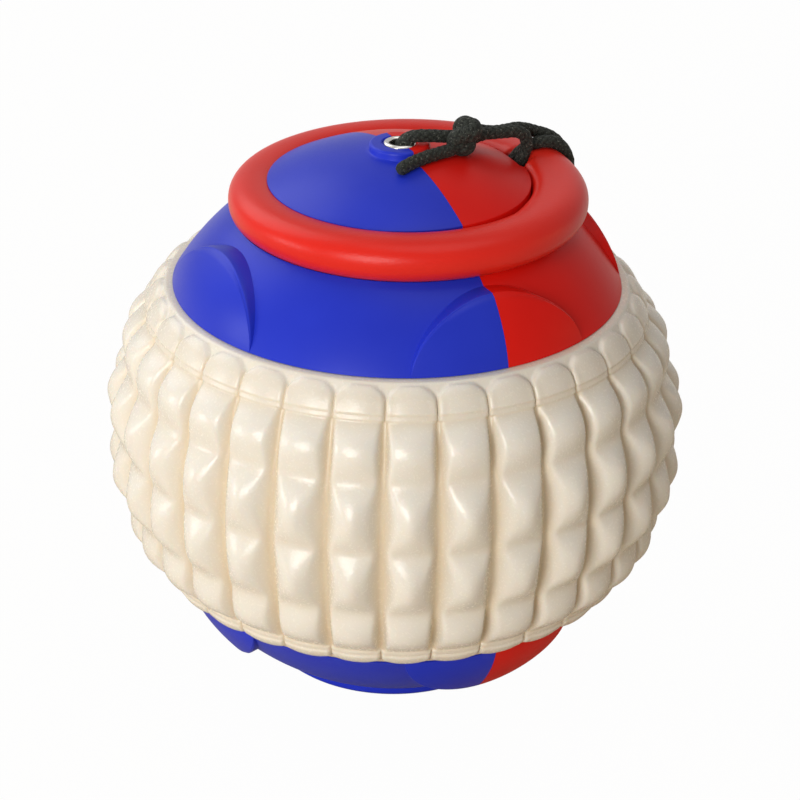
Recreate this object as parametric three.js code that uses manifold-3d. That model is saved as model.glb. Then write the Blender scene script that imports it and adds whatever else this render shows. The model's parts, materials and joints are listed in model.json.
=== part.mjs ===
// A throwing ball with a pull ring: two shells, a ribbed chew sleeve, and a cord on a spring-return reel.
// Millimetres, +Z up, origin on the flat foot. The shells meet on the plane x = 0, blue at -X, red at +X.
import * as THREE from 'three';
import { mergeVertices } from 'three/addons/utils/BufferGeometryUtils.js';
import Module from 'manifold-3d';

const wasm = await Module();
wasm.setup();

// Clearances
const fitGap = 0.3;          // between pieces that touch or run on each other
const loopGap = 0.6;         // cord to the ring that turns inside it
const ringGap = 0.35;        // ring to the dome's wall on its close side

// Body, heights from the equator
const bodyRadius = 44.3;     // upper and lower body are parts of two spheres
const bodyLift = 3.57;       // their centres above and below the equator
const lipHeight = 26.4;      // edges of the body above and below the sleeve
const beltInset = 1.1;       // shell under the sleeve, in from the body
const wall = 2.6;
const domeRadius = 50;
const domeRim = 21.9;        // radius of the dome inside the ring
const domeRimEdge = 0.8;     // rounding of the dome's rim
const domeRise = 3.63;       // dome's rim above the ring's centre plane
const domeWall = 3.3;        // wall between the dome's rim and the room under it
const lowDomeRadius = 46;
const lowDomeLift = 3;       // low dome's centre below the equator
const lowerRim = 22.3;       // radius of the low dome round the foot
const footRadius = 11.28;    // flat foot on the low dome
const seamGap = 0.1;         // parting line between the shells

// Arch pads, four above the sleeve and four below
const padCount = 4;
const padHalfWidth = 15.9;
const padLedge = 3.1;        // crest's step out of the body
const padBulge = 0.9;

// Collar and eyelet
const collarRadius = 5.1;
const collarRise = 1.46;     // collar above the dome
const collarChamfer = 0.4;
const eyeletHole = 1.8;
const eyeletWall = 0.45;
const eyeletReach = 0.4;     // flange past the barrel
const eyeletFlangeThick = 0.7;
const eyeletProud = 0.2;     // flange above the collar
const washerRadius = 5;
const washerThick = 0.8;
const washerRoom = 1;        // flat seat past the washer's edge
const rolledReach = 0.85;    // rolled lower end past the barrel
const rolledThick = 0.6;

// Chew sleeve
const sleeveThick = 2.6;     // from the belt to the surface between the ribs
const ribRise = 4.2;         // crest of a rib over that surface
const crestFlattening = 3;   // of the ribs' crest ellipsoid
const ribCount = 32;
const ribTurn = -1.9;        // degrees from the seam to a rib
const ribFlank = 0.78;       // height of a rib's flank as a share of its crest
const lipBand = 0.96;        // plain edge past a rib's end
const rowNecks = [0, 14.5, 28];  // degrees of latitude
const neckDepth = 2.2;

// Ring and cord
const ringSection = 3.5;
const ringLoose = 1.1;       // ring round the dome, where it is centred
const ringStand = 1.52;      // seat's centre outside the body sphere
const seatDrop = 0.75;       // seat's depth below the ring
const ringLean = 1.1;        // degrees, the ring's -Y side a little up
const cordDiameter = 2.1;
const slotHalfWidth = 4.5;   // cord slot in the red shell
const slotWall = 1.8;

// Reel, axis along X through the ball's centre
const axleRadius = 2;
const axleCover = 10.2;      // shell past the axle's end
const axleBossWall = 3;
const drumRadius = 16;
const flangeRise = 6;        // flange past the drum
const flangeThick = 1.8;
const windingTurns = 6;
const windingGap = 0.45;     // between turns
const runBend = 42;          // height where the cord's run turns upright under the eyelet
const cupWall = 4.4;         // drum round the spring cup
const hubWall = 3;
const webThick = 2.4;
const arborWall = 2.2;
const springThick = 0.5;
const springTurns = 4;
const springSideGap = 0.8;   // spring to cup floor and to cover
const coverThick = 1.6;
const thrustThick = 0.8;

// Screws
const shellScrewInset = 7.7; // screw's axis in from the hollow's wall
const shellScrewLean = 19.5; // degrees above and below the equator
const shellScrewRadius = 1.5;
const shellScrewHead = 2.8;
const shellScrewHeadThick = 1.8;
const shellScrewSink = 1.2;  // head below the belt
const shellScrewBite = 13;   // shank in the red post
const postWall = 2;          // post round a screw's head
const coverScrewCount = 3;
const coverScrewRadius = 0.9;
const coverScrewHead = 1.7;
const coverScrewHeadThick = 1;
const coverScrewBite = 5;

// Facets
const bodySides = 36;
const hollowSides = 24;
const reelSides = 24;
const smallSides = 10;
const cordSides = 8;
const windingSides = 6;
const windingSteps = 24;     // to a turn
const springSteps = 16;      // to a turn
const knotRings = 7;
const beltSteps = 2;         // between the equator and a lip, the same on shell and sleeve

// Sizes that follow from the ones above
const sphereHeight = (radius, lift, r) => lift + Math.sqrt(radius ** 2 - r ** 2);
const sphereRadius = (radius, lift, z) => Math.sqrt(radius ** 2 - (z - lift) ** 2);
const seatRadius = ringSection + seatDrop;
const seatCentre = domeRim + seatRadius;
const ringRadius = domeRim + ringSection + ringLoose;
const ringShift = ringLoose - ringGap;
const ringX = ringRadius + ringShift;
const ringHeight = sphereHeight(bodyRadius + ringStand, bodyLift, seatCentre);
const domeLift = ringHeight + domeRise - sphereHeight(domeRadius, 0, domeRim - domeRimEdge);
const domeInnerRadius = domeRim - domeWall;
const washerSeatRadius = washerRadius + washerRoom;
const domeInnerTop = sphereHeight(domeRadius - wall, domeLift, washerSeatRadius);
const footDepth = sphereHeight(lowDomeRadius, lowDomeLift, footRadius);
const collarHeight = sphereHeight(domeRadius, domeLift, collarRadius) + collarRise;
const beltRadius = bodyRadius - beltInset;
const cavityRadius = beltRadius - wall;
const sleeveTop = lipHeight - fitGap;
const sleeveValley = beltRadius + sleeveThick;
const sleeveCrest = sleeveValley + ribRise;
const sleeveCrestPolar = sleeveCrest - crestFlattening;
const ribHeadLatitude = THREE.MathUtils.radToDeg(Math.asin((sleeveTop - lipBand) / sleeveValley));
const padCrestHeight = ringHeight - seatRadius;   // level with the floor of the ring's seat
const padCrestRadius = sphereRadius(bodyRadius, bodyLift, padCrestHeight) + padLedge;
const eyeletBarrel = eyeletHole + eyeletWall;
const eyeletFlange = eyeletBarrel + eyeletReach;
const rolledRadius = eyeletBarrel + rolledReach;
const cordRadius = cordDiameter / 2;
const windingPitch = cordDiameter + windingGap;
const windingRadius = drumRadius + fitGap + cordRadius;
const drumHalf = (windingTurns * windingPitch + cordDiameter) / 2 + fitGap;
const spoolHalf = drumHalf + flangeThick;
const flangeRadius = drumRadius + flangeRise;
const cupRadius = drumRadius - cupWall;
const coverScrewCircle = (cupRadius + drumRadius) / 2;
const axleHalf = beltRadius - axleCover;
const axleBoss = axleRadius + axleBossWall;
const hubRadius = axleRadius + hubWall;
const arborRadius = axleRadius + arborWall;
const shellScrewCircle = cavityRadius - shellScrewInset;
const shellScrewSeat = sphereRadius(beltRadius, 0, shellScrewCircle + shellScrewHead)
  - shellScrewSink - shellScrewHeadThick - fitGap;
const postRadius = shellScrewHead + postWall;
const loopRadius = ringSection + loopGap + cordRadius;
const slotFloor = ringHeight - loopRadius - cordRadius - fitGap;
const slotInner = ringX - loopRadius - cordRadius - loopGap;
const eyeletTop = collarHeight + eyeletProud;

// Closed geometry and solids
const merged = (geometry) => {
  const bare = geometry.index ? geometry.toNonIndexed() : geometry;
  bare.deleteAttribute('normal');
  bare.deleteAttribute('uv');
  return mergeVertices(bare, 1e-4);
};

function solidOf(geometry) {
  const closed = merged(geometry);
  const vertProperties = new Float32Array(closed.attributes.position.array);
  const triVerts = new Uint32Array(closed.index.array);
  return new wasm.Manifold(new wasm.Mesh({ numProp: 3, vertProperties, triVerts }));
}

function geometryOf(solid) {
  const mesh = solid.getMesh();
  const geometry = new THREE.BufferGeometry();
  geometry.setAttribute('position', new THREE.BufferAttribute(new Float32Array(mesh.vertProperties), 3));
  geometry.setIndex(new THREE.BufferAttribute(new Uint32Array(mesh.triVerts), 1));
  return geometry;
}

// A lathe about Z from [radius, height] points, turned to lie about X where asked.
function lathe(points, sides) {
  const profile = points.map(([r, z]) => new THREE.Vector2(r, z));
  return new THREE.LatheGeometry(profile, sides).rotateX(Math.PI / 2);
}
const latheX = (points, sides) => lathe(points, sides).rotateY(Math.PI / 2);

// A round bar or hole along X.
function barX(radius, from, to, sides = smallSides) {
  const [low, high] = [Math.min(from, to), Math.max(from, to)];
  return latheX([[0, low], [radius, low], [radius, high], [0, high]], sides);
}

// A flat ring along X with an open bore.
const ringBarX = (inner, outer, from, to, sides) =>
  latheX([[inner, from], [outer, from], [outer, to], [inner, to], [inner, from]], sides);

const box = (from, to) => new THREE.BoxGeometry(...to.map((v, i) => v - from[i]))
  .translate(...to.map((v, i) => (v + from[i]) / 2));

// Points on an arc about a centre, by angle from +radius towards +height.
function arc([r, z], radius, start, end, steps) {
  return Array.from({ length: steps + 1 }, (_, i) => {
    const angle = start + (end - start) * i / steps;
    return [r + radius * Math.cos(angle), z + radius * Math.sin(angle)];
  });
}

// Points on a body sphere between two heights, or on a dome between two radii.
const sphereArc = (radius, lift, fromZ, toZ, steps) => arc([0, lift], radius,
  Math.asin((fromZ - lift) / radius), Math.asin((toZ - lift) / radius), steps);
const domeArc = (radius, lift, fromR, toR, steps) => arc([0, lift], radius,
  Math.acos(fromR / radius), Math.acos(toR / radius), steps);

const flipped = (points) => points.map(([r, z]) => [r, -z]).reverse();

// Where the ring's seat, a round groove, comes out on the upper body.
function seatProfile() {
  const span = bodyRadius + ringStand;
  const lean = Math.acos(seatCentre / span);
  const along = (bodyRadius ** 2 + span ** 2 - seatRadius ** 2) / (2 * bodyRadius * span);
  const bodyAngle = lean - Math.acos(along);
  const edge = [bodyRadius * Math.cos(bodyAngle), bodyLift + bodyRadius * Math.sin(bodyAngle)];
  const start = Math.atan2(edge[1] - ringHeight, edge[0] - seatCentre);
  return { edge, points: arc([seatCentre, ringHeight], seatRadius, start, -Math.PI, 6) };
}

function bodyProfile() {
  const seat = seatProfile();
  const rimZ = sphereHeight(domeRadius, domeLift, domeRim - domeRimEdge);
  const collarZ = sphereHeight(domeRadius, domeLift, collarRadius);
  const belt = sphereArc(beltRadius, 0, 0, lipHeight, beltSteps);
  const upper = [
    ...belt,
    ...sphereArc(bodyRadius, bodyLift, lipHeight, seat.edge[1], 4).slice(0, -1),
    ...seat.points,
    [domeRim, rimZ - domeRimEdge],
    [domeRim - domeRimEdge, rimZ],
    ...domeArc(domeRadius, domeLift, domeRim - domeRimEdge, collarRadius, 4).slice(1, -1),
    [collarRadius, collarZ],
    [collarRadius, collarHeight - collarChamfer],
    [collarRadius - collarChamfer, collarHeight],
    [0, collarHeight],
  ];
  const lowStep = sphereHeight(bodyRadius, bodyLift, lowerRim);
  const lower = flipped([
    ...belt,
    ...sphereArc(bodyRadius, bodyLift, lipHeight, lowStep, 4),
    ...domeArc(lowDomeRadius, lowDomeLift, lowerRim, footRadius, 3),
    [0, footDepth],
  ]);
  return [...lower.slice(0, -1), ...upper];
}

// The hollow: a sphere under the sleeve, a round room under the dome with a flat top for the washer.
function cavitySolid() {
  const roomBase = sphereHeight(cavityRadius, 0, domeInnerRadius);
  const ball = sphereArc(cavityRadius, 0, -cavityRadius, roomBase, 8);
  ball[0][0] = 0;
  return solidOf(lathe([
    ...ball,
    ...domeArc(domeRadius - wall, domeLift, domeInnerRadius, washerSeatRadius, 2),
    [0, domeInnerTop],
  ], hollowSides));
}

// Arch pads: an upright arch pushed through a ring of bulged section.
function padSolid() {
  const lip = sphereRadius(bodyRadius, bodyLift, lipHeight);
  const chord = new THREE.Vector2(padCrestRadius - lip, padCrestHeight - lipHeight);
  const outward = new THREE.Vector2(chord.y, -chord.x).normalize();
  const face = [0, 0.33, 0.67, 1].map((t) => {
    const swell = 4 * padBulge * t * (1 - t);
    return [lip + chord.x * t + outward.x * swell, lipHeight + chord.y * t + outward.y * swell];
  });
  const ring = solidOf(lathe([[0, lipHeight], ...face, [0, padCrestHeight]], bodySides));
  const arch = new THREE.Shape();
  arch.absellipse(0, lipHeight, padHalfWidth, padCrestHeight - lipHeight, 0, Math.PI, false, 0);
  const reach = bodyRadius;
  const prism = new THREE.ExtrudeGeometry(arch, { depth: reach, curveSegments: 10, bevelEnabled: false })
    .rotateX(Math.PI / 2);
  const prismSolid = solidOf(prism);
  const pads = Array.from({ length: padCount }, (_, i) =>
    ring.intersect(prismSolid.rotate([0, 0, i * 360 / padCount])));
  const upper = pads.reduce((sum, pad) => sum.add(pad));
  return upper.add(upper.rotate([180, 0, 0]));
}

const screwLean = THREE.MathUtils.degToRad(shellScrewLean);
const screwSpots = [[1, 1], [-1, 1], [-1, -1], [1, -1]]
  .map(([y, z]) => [y * shellScrewCircle * Math.cos(screwLean), z * shellScrewCircle * Math.sin(screwLean)]);

// Posts and axle bosses that stand from one shell's wall to the seam or to the spool.
function innerPosts(side, bossStart) {
  const posts = screwSpots.map(([y, z]) =>
    solidOf(barX(postRadius, 0, side * bodyRadius).translate(0, y, z)));
  const boss = solidOf(barX(axleBoss, side * bossStart, side * bodyRadius));
  return posts.reduce((sum, post) => sum.add(post), boss);
}

function screwHoles() {
  const shank = shellScrewRadius + fitGap;
  const head = shellScrewHead + fitGap;
  return screwSpots
    .map(([y, z]) => solidOf(barX(shank, -bodyRadius, shellScrewBite + fitGap).translate(0, y, z))
      .add(solidOf(barX(head, -bodyRadius, -shellScrewSeat).translate(0, y, z))))
    .reduce((sum, hole) => sum.add(hole));
}

// The bore through collar and dome, with a counterbore that takes the eyelet's flange.
function eyeletBore() {
  const bore = eyeletBarrel + fitGap;
  const counterbore = eyeletFlange + fitGap;
  const floor = eyeletTop - eyeletFlangeThick - fitGap;
  return solidOf(lathe([[0, domeInnerTop - wall], [bore, domeInnerTop - wall], [bore, floor],
    [counterbore, floor], [counterbore, collarHeight + wall], [0, collarHeight + wall]], reelSides));
}

const sideBoss = { red: spoolHalf + thrustThick + 2 * fitGap,
  blue: spoolHalf + coverThick + thrustThick + 2 * fitGap };

// One half of the ball. The red half also has the slot where the cord goes round the ring.
function shellGeometry(side) {
  const outer = solidOf(lathe(bodyProfile(), bodySides)).add(padSolid());
  const bossStart = side < 0 ? sideBoss.blue : sideBoss.red;
  let half = outer.subtract(cavitySolid()).add(outer.intersect(innerPosts(side, bossStart)));
  if (side > 0) {
    const pocket = solidOf(box([slotInner - slotWall, -slotHalfWidth - slotWall, slotFloor - slotWall],
      [bodyRadius, slotHalfWidth + slotWall, collarHeight]));
    const slot = solidOf(box([slotInner, -slotHalfWidth, slotFloor],
      [bodyRadius + wall, slotHalfWidth, collarHeight]));
    half = half.add(outer.intersect(pocket)).subtract(slot);
  }
  const axleHole = solidOf(barX(axleRadius + fitGap, -axleHalf - fitGap, axleHalf + fitGap));
  half = half.subtract(screwHoles()).subtract(eyeletBore()).subtract(axleHole);
  const reach = 2 * bodyRadius;
  const near = side * seamGap / 2;
  const far = side * reach;
  const halfSpace = solidOf(box([Math.min(near, far), -reach, -reach], [Math.max(near, far), reach, reach]));
  return geometryOf(half.intersect(halfSpace));
}

// Height of a rib's crest over the valley at one latitude: full in each row, drawn in at the necks.
function ribHeight(latitude) {
  const size = Math.abs(latitude);
  const row = rowNecks.findLastIndex((neck) => size >= neck);
  const top = rowNecks[row + 1] ?? ribHeadLatitude;
  const along = (size - rowNecks[row]) / (top - rowNecks[row]);
  const angle = THREE.MathUtils.degToRad(latitude);
  const crest = Math.hypot(sleeveCrest * Math.cos(angle), sleeveCrestPolar * Math.sin(angle));
  const height = crest - sleeveValley;
  const waist = neckDepth * (1 - Math.sin(Math.PI * along));
  const last = row === rowNecks.length - 1;
  return last ? (height - neckDepth) * Math.cos(Math.PI / 2 * along ** 3) : height - waist;
}

// The sleeve as a closed grid: each column runs up the ribbed outside and down the plain inside.
function sleeveGeometry() {
  const lastNeck = rowNecks.at(-1);
  const rowsUp = rowNecks.slice(1).flatMap((neck, i) => [(neck + rowNecks[i]) / 2, neck]);
  const head = (lastNeck + ribHeadLatitude) / 2;
  const upper = [0, ...rowsUp, head, ribHeadLatitude];
  const latitudes = [...upper.slice(1).map((v) => -v).reverse(), ...upper];
  const ribShares = [0, ribFlank, 1, ribFlank];
  const columns = ribCount * ribShares.length;
  const phase = THREE.MathUtils.degToRad(ribTurn - 90) - 2 * Math.PI * ribShares.indexOf(1) / columns;
  const inner = sphereArc(beltRadius + fitGap, 0, sleeveTop, -sleeveTop, 2 * beltSteps);
  const lipRadius = sphereRadius(bodyRadius, bodyLift, lipHeight) - fitGap;
  const points = [];
  for (let column = 0; column < columns; column += 1) {
    const angle = phase + 2 * Math.PI * column / columns;
    const outside = latitudes.map((latitude) => {
      const reach = sleeveValley + ribShares[column % ribShares.length] * ribHeight(latitude);
      const lean = THREE.MathUtils.degToRad(latitude);
      return [reach * Math.cos(lean), reach * Math.sin(lean)];
    });
    const ring = [[lipRadius, -sleeveTop], ...outside, [lipRadius, sleeveTop], ...inner];
    ring.forEach(([r, z]) => points.push(r * Math.cos(angle), r * Math.sin(angle), z));
  }
  const count = points.length / 3 / columns;
  const faces = [];
  for (let column = 0; column < columns; column += 1) {
    const next = (column + 1) % columns;
    for (let i = 0; i < count; i += 1) {
      const [a, b] = [column * count + i, column * count + (i + 1) % count];
      const [c, d] = [next * count + (i + 1) % count, next * count + i];
      faces.push(a, c, b, a, d, c);
    }
  }
  const geometry = new THREE.BufferGeometry();
  geometry.setAttribute('position', new THREE.Float32BufferAttribute(points, 3));
  geometry.setIndex(faces);
  return geometry;
}

// Eyelet, a rolled tube, and the washer that its lower end holds under the dome
function eyeletGeometry() {
  const flangeFloor = eyeletTop - eyeletFlangeThick;
  const rolledTop = domeInnerTop - washerThick - 2 * fitGap;
  const bottom = rolledTop - rolledThick;
  return lathe([[eyeletHole, bottom], [rolledRadius, bottom], [rolledRadius, rolledTop],
    [eyeletBarrel, rolledTop], [eyeletBarrel, flangeFloor], [eyeletFlange, flangeFloor],
    ...arc([(eyeletHole + eyeletFlange) / 2, flangeFloor], (eyeletFlange - eyeletHole) / 2, 0.6, 2.54, 4)
      .map(([r, z]) => [r, Math.min(z + eyeletProud, eyeletTop)]),
    [eyeletHole, flangeFloor], [eyeletHole, bottom]], reelSides);
}

function washerGeometry() {
  const top = domeInnerTop - fitGap;
  const bore = eyeletBarrel + fitGap;
  return lathe([[bore, top - washerThick], [washerRadius, top - washerThick], [washerRadius, top],
    [bore, top], [bore, top - washerThick]], reelSides);
}

// The spool: drum, two flanges, a spring cup open at -X and a moulded hollow open at +X
function spoolGeometry() {
  const bore = axleRadius + fitGap;
  const cupFloor = -webThick / 2;
  const hollow = drumRadius - wall;
  const spool = solidOf(latheX([
    [bore, cupFloor], [cupRadius, cupFloor], [cupRadius, -spoolHalf], [flangeRadius, -spoolHalf],
    [flangeRadius, -drumHalf], [drumRadius, -drumHalf], [drumRadius, drumHalf], [flangeRadius, drumHalf],
    [flangeRadius, spoolHalf], [hollow, spoolHalf], [hollow, webThick / 2], [hubRadius, webThick / 2],
    [hubRadius, spoolHalf], [bore, spoolHalf], [bore, cupFloor]], reelSides));
  const hole = ([y, z]) => solidOf(
    barX(coverScrewRadius + fitGap, -spoolHalf - wall, coverScrewBite - spoolHalf).translate(0, y, z));
  return geometryOf(coverScrewSpots.reduce((rest, spot) => rest.subtract(hole(spot)), spool));
}

const coverScrewSpots = Array.from({ length: coverScrewCount }, (_, i) => {
  const angle = 2 * Math.PI * i / coverScrewCount;
  return [coverScrewCircle * Math.cos(angle), coverScrewCircle * Math.sin(angle)];
});
const coverOuter = -spoolHalf - coverThick;

function coverGeometry() {
  const disc = solidOf(ringBarX(axleRadius + fitGap, drumRadius, coverOuter, -spoolHalf, reelSides));
  const hole = ([y, z]) => solidOf(
    barX(coverScrewRadius + fitGap, coverOuter - wall, wall - spoolHalf).translate(0, y, z));
  return geometryOf(coverScrewSpots.reduce((rest, spot) => rest.subtract(hole(spot)), disc));
}

const screwGeometry = (radius, head, tip, seat, headEnd) => latheX([[0, tip], [radius, tip], [radius, seat],
  [head, seat], [head, headEnd], [0, headEnd]].reverse(), smallSides);

// The spring: a flat strip wound in a spiral from the arbor out to the cup
function springGeometry() {
  const inner = arborRadius + fitGap + springThick / 2;
  const outer = cupRadius - fitGap - springThick / 2;
  const steps = springTurns * springSteps;
  const at = (i, offset) => {
    const radius = inner + (outer - inner) * i / steps + offset;
    const angle = 2 * Math.PI * springTurns * i / steps;
    return new THREE.Vector2(radius * Math.cos(angle), radius * Math.sin(angle));
  };
  const order = Array.from({ length: steps + 1 }, (_, i) => i);
  const outline = [...order.map((i) => at(i, springThick / 2)),
    ...order.reverse().map((i) => at(i, -springThick / 2))];
  const turnGap = (outer - inner) / springTurns - springThick;
  console.log('spring, least gap between turns', turnGap.toFixed(2), 'mm');
  const depth = spoolHalf - webThick / 2 - 2 * springSideGap;
  return new THREE.ExtrudeGeometry(new THREE.Shape(outline), { depth, bevelEnabled: false })
    .rotateY(Math.PI / 2).translate(springSideGap - spoolHalf, 0, 0);
}

// Cords
const section = (sides) => new THREE.Shape(Array.from({ length: sides }, (_, i) =>
  new THREE.Vector2(cordRadius * Math.cos(2 * Math.PI * i / sides),
    cordRadius * Math.sin(2 * Math.PI * i / sides))));

const tubeAlong = (curve, steps, sides) =>
  new THREE.ExtrudeGeometry(section(sides), { steps, bevelEnabled: false, extrudePath: curve });

const cordAlong = (points, steps) => {
  const spots = points.map(([x, y, z]) => new THREE.Vector3(x, y, z + footDepth));
  return tubeAlong(new THREE.CatmullRomCurve3(spots, false, 'centripetal'), steps, cordSides);
};

// The put-away cord: a helix on the drum with a straight end of one diameter at each side
class WindingCurve extends THREE.Curve {
  getPoint(t, target = new THREE.Vector3()) {
    const sweep = 2 * Math.PI * windingTurns;
    const rate = Math.hypot(windingRadius, windingPitch / (2 * Math.PI));
    const run = t * (sweep * rate + 2 * cordDiameter) - cordDiameter;
    const turned = Math.min(Math.max(run / rate, 0), sweep);
    const past = run - turned * rate;
    const angle = windingStart + turned;
    const radial = new THREE.Vector3(0, Math.cos(angle), Math.sin(angle));
    const tangent = new THREE.Vector3(windingPitch / (2 * Math.PI), -windingRadius * Math.sin(angle),
      windingRadius * Math.cos(angle)).normalize();
    target.set(windingPitch * (turned / (2 * Math.PI) - windingTurns / 2), 0, 0);
    return target.addScaledVector(radial, windingRadius).addScaledVector(tangent, past);
  }
}
const windingStart = Math.asin(windingRadius / runBend);

function windingGeometry() {
  const curve = new WindingCurve();
  const endSteps = 2;
  const steps = windingTurns * windingSteps + 2 * endSteps;
  const finer = 10;                        // points measured to a step
  const points = curve.getSpacedPoints(steps * finer);
  const halfTurn = windingSteps * finer / 2;
  const least = Math.min(...points.map((p, i) =>
    points.slice(i + halfTurn).reduce((low, q) => Math.min(low, p.distanceTo(q)), Infinity)));
  console.log('winding, least gap between turns', (least - cordDiameter).toFixed(2), 'mm');
  return tubeAlong(curve, steps, windingSides).translate(0, 0, footDepth);
}

// Routes of the cord, heights from the equator: x, y, z
const runRoute = [[6.3, 11.3, 17.4], [5.3, 9.6, 21.1], [4.4, 8, 24.7], [2.2, 4, 33.3], [0.9, 1.6, 38.5],
  [0.2, 0.4, 41.4], [0, 0, 43.6], [0, 0, 46], [0, 0, 48.3]];
const leadRoute = [[0, 0, 48.7], [0.05, 0, 49.6], [0.35, -0.35, 50.9], [1.3, -1.25, 52], [3.4, -2.3, 52.3],
  [5.4, -2.7, 52.05], [7.3, -2.9, 51.75]];
const tailRoute = [[6.9, -5, 50.25], [5, -5.6, 50.3], [3.2, -6.1, 50.35], [1.2, -6.6, 50.35],
  [-1.8, -7.5, 50.2], [-4.65, -8.6, 49.85]];
const loopRoute = [[15.3, 0.35, 50.3], [17.8, 0.25, 49.75], [20.4, 0.65, 49.45], [22.9, 1.3, 49.2],
  [25.2, 1.8, 48.5], [27.4, 1.95, 47.6], [29.7, 1.95, 46.6], [31.6, 1.95, 45.1], [32.7, 2.05, 43.2],
  [32.9, 2.2, 41.2], [31.3, 2.2, 37.5], [27.5, 2.1, 36], [23.5, 1.8, 37.4], [22.2, 1.5, 41.2],
  [22.6, 1.3, 43.4], [24, 0.95, 45.1], [26, 0.3, 46.25], [28, -0.15, 46.5], [29.9, -0.25, 46],
  [31.4, -0.25, 44.8], [32.4, -0.3, 43], [32.7, -0.3, 41.2], [31.1, -0.4, 37.5], [27.4, -0.6, 36],
  [23.5, -0.9, 37.4], [22.2, -1.15, 41.2], [22.3, -1.25, 43.2], [22.9, -1.3, 45], [23.6, -1.3, 46.9],
  [23.1, -1.3, 48.7], [21.4, -1.45, 49.8], [19.4, -1.75, 50.2], [17.2, -2.05, 50.5], [14.8, -2.15, 50.7]];

// The knot's two lumps: middle and half size
const knotLumps = [
  { at: [10.3, -3.6, 50.5], half: [2.2, 2.2, 1.9] },
  { at: [12.4, -0.9, 51.2], half: [2.1, 2.1, 1.9] },
];

function knotGeometry() {
  const lumps = knotLumps.map(({ at: [x, y, z], half }) => solidOf(
    new THREE.SphereGeometry(1, smallSides, knotRings).scale(...half).translate(x, y, z + footDepth)));
  return geometryOf(lumps.reduce((sum, lump) => sum.add(lump)));
}

// Finishes
const finish = (color, roughness, metalness = 0) =>
  new THREE.MeshStandardMaterial({ color, roughness, metalness });
const finishes = {
  bluePlastic: finish(0x303ec5, 0.42),
  redPlastic: finish(0xc8281f, 0.42),
  redRubber: finish(0xdc382e, 0.5),
  creamRubber: finish(0xf0e6d6, 0.55),
  nickel: finish(0xd8d4cc, 0.25, 1),
  steel: finish(0x9a9ca0, 0.35, 1),
  innerPlastic: finish(0xd9d9d4, 0.5),
  blackCord: finish(0x26271f, 0.9),
};

const ball = new THREE.Group();

function addPiece(name, geometry, material) {
  const closed = merged(geometry);
  closed.computeVertexNormals();
  const mesh = new THREE.Mesh(closed, material);
  mesh.name = name;
  ball.add(mesh);
  return mesh;
}

// Pieces whose heights are from the equator
const aboveFoot = (name, geometry, material) =>
  addPiece(name, geometry.translate(0, 0, footDepth), material);

aboveFoot('shell_blue', shellGeometry(-1), finishes.bluePlastic);
aboveFoot('shell_red', shellGeometry(1), finishes.redPlastic);
aboveFoot('chew_sleeve', sleeveGeometry(), finishes.creamRubber);
aboveFoot('pull_ring', new THREE.TorusGeometry(ringRadius, ringSection, 12, bodySides)
  .rotateX(-THREE.MathUtils.degToRad(ringLean)).translate(ringShift, 0, ringHeight), finishes.redRubber);
aboveFoot('eyelet', eyeletGeometry(), finishes.nickel);
aboveFoot('eyelet_washer', washerGeometry(), finishes.steel);

aboveFoot('axle', barX(axleRadius, -axleHalf, axleHalf), finishes.steel);
aboveFoot('spring_arbor', ringBarX(axleRadius + fitGap, arborRadius, springSideGap - spoolHalf,
  -webThick / 2 - springSideGap, reelSides), finishes.steel);
aboveFoot('spool', spoolGeometry(), finishes.innerPlastic);
aboveFoot('spring_cover', coverGeometry(), finishes.innerPlastic);
aboveFoot('return_spring', springGeometry(), finishes.steel);
const thrustRings = { red: spoolHalf + fitGap, blue: coverOuter - fitGap - thrustThick };
Object.entries(thrustRings).forEach(([half, from]) => aboveFoot(`thrust_washer_${half}`,
  ringBarX(axleRadius + fitGap, axleBoss, from, from + thrustThick, reelSides), finishes.steel));
coverScrewSpots.forEach(([y, z], i) => aboveFoot(`cover_screw_${i + 1}`,
  screwGeometry(coverScrewRadius, coverScrewHead, coverScrewBite - spoolHalf - fitGap, coverOuter,
    coverOuter - coverScrewHeadThick).translate(0, y, z), finishes.steel));
screwSpots.forEach(([y, z], i) => aboveFoot(`shell_screw_${i + 1}`,
  screwGeometry(shellScrewRadius, shellScrewHead, shellScrewBite, -shellScrewSeat - fitGap,
    -shellScrewSeat - fitGap - shellScrewHeadThick).translate(0, y, z), finishes.steel));

addPiece('cord_winding', windingGeometry(), finishes.blackCord);
addPiece('cord_run', cordAlong(runRoute, 12), finishes.blackCord);
addPiece('cord_lead', cordAlong(leadRoute, 12), finishes.blackCord);
addPiece('cord_knot', knotGeometry(), finishes.blackCord);
addPiece('cord_loop', cordAlong(loopRoute, 54), finishes.blackCord);
addPiece('cord_tail', cordAlong(tailRoute, 8), finishes.blackCord);

export default ball;
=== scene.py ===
# Rope throwing ball: two moulded halves, a ribbed chew sleeve, a pull ring and its knotted cord.
# Shapes are worked out in millimetres from the ball's centre, and go into the meshes in metres.
import json
import math
import bmesh
import bpy
import numpy as np
from mathutils import Matrix, Vector


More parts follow.
